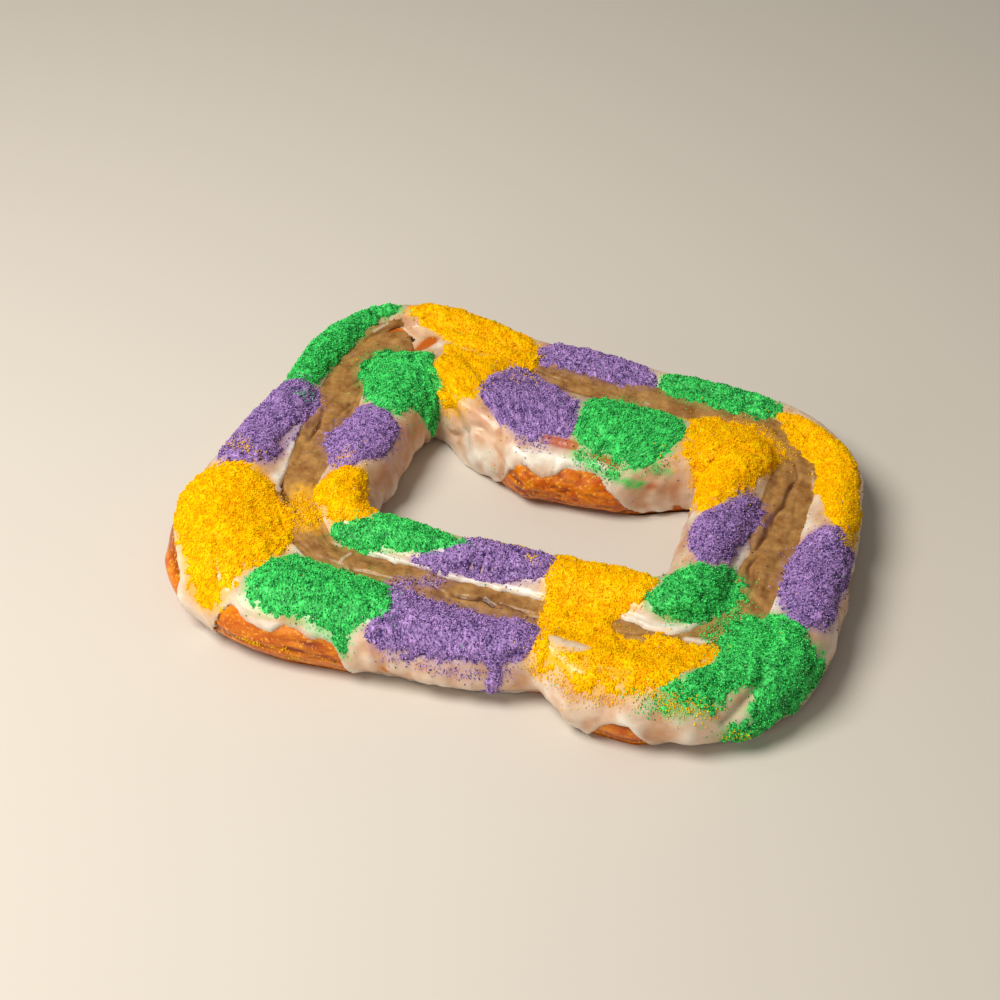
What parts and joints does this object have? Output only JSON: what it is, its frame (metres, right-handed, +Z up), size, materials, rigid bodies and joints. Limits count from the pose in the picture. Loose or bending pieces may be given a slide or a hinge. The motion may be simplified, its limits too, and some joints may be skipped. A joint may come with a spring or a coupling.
{
  "type": "king cake",
  "caption": "Rectangular ring-shaped festive cake of sweet dough, with a filling strip in its groove, running icing and coloured sugar patches.",
  "frame": {"origin": "middle of the cake's box, on the floor it lies on", "axes": "+X along the long side, +Y across the ring towards the side with the wide inner roll, +Z up"},
  "size_m": [0.4318, 0.337, 0.0546],
  "materials": {
    "crust": "baked egg-washed crust, orange brown, satin",
    "filling": "smooth caramel-brown filling, slightly glossy",
    "icing": "translucent poured sugar icing, glossy",
    "gold_sugar": "coarse gold sanding sugar",
    "green_sugar": "coarse green sanding sugar",
    "purple_sugar": "coarse purple sanding sugar"
  },
  "bodies": {
    "root": {"dough": "crust", "filling": "filling", "icing_outer": "icing", "icing_inner": "icing", "sugar_gold_front_left": "gold_sugar", "sugar_green_front": "green_sugar", "sugar_purple_front": "purple_sugar", "sugar_gold_front": "gold_sugar", "sugar_green_front_right": "green_sugar", "sugar_purple_right": "purple_sugar", "sugar_gold_back_right": "gold_sugar", "sugar_green_back": "green_sugar", "sugar_purple_back": "purple_sugar", "sugar_gold_back_left": "gold_sugar", "sugar_green_back_left": "green_sugar", "sugar_purple_left": "purple_sugar", "sugar_gold_inner_front_left": "gold_sugar", "sugar_green_inner_front": "green_sugar", "sugar_purple_inner_front": "purple_sugar", "sugar_green_inner_front_right": "green_sugar", "sugar_purple_inner_right": "purple_sugar", "sugar_gold_inner_back_right": "gold_sugar", "sugar_green_inner_back": "green_sugar", "sugar_purple_inner_back": "purple_sugar", "sugar_gold_inner_back_left": "gold_sugar", "sugar_green_inner_back_left": "green_sugar", "sugar_purple_inner_left": "purple_sugar"}
  },
  "joints": []
}
